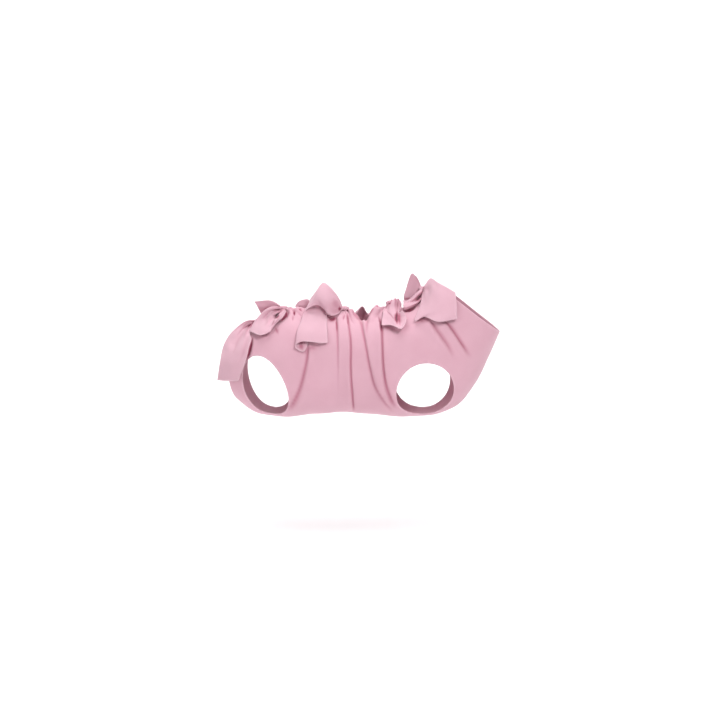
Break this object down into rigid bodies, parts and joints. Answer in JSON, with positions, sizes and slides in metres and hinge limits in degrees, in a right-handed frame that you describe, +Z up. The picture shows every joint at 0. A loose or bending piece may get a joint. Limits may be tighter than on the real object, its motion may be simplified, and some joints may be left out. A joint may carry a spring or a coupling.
{
  "type": "dog recovery suit",
  "caption": "Wrap suit of stretch cloth for a dog, in its worn shape, with leg holes, an open neck and rump, and wide ties knotted along the back.",
  "frame": {"origin": "on the wearer's spine at the middle of the back, under the back opening", "axes": "+X towards the wearer's head, +Y to the wearer's left (the far side), +Z up"},
  "size_m": [0.3666, 0.1367, 0.184],
  "materials": {
    "wrap": "matte stretch jersey",
    "tie": "matte stretch jersey with raw edges"
  },
  "bodies": {
    "root": {"body_wrap": "wrap", "hip_far_tail": "tie", "hip_knot": "tie", "hip_near_tail": "tie", "loin_far_tail": "tie", "loin_knot": "tie", "loin_near_tail": "tie", "rib_far_tail": "tie", "rib_knot": "tie", "rib_near_tail": "tie", "rump_far_tail": "tie", "rump_knot": "tie", "rump_near_tail": "tie", "waist_far_tail": "tie", "waist_knot": "tie", "waist_near_tail": "tie", "withers_far_tail": "tie", "withers_knot": "tie", "withers_near_tail": "tie"}
  },
  "joints": []
}
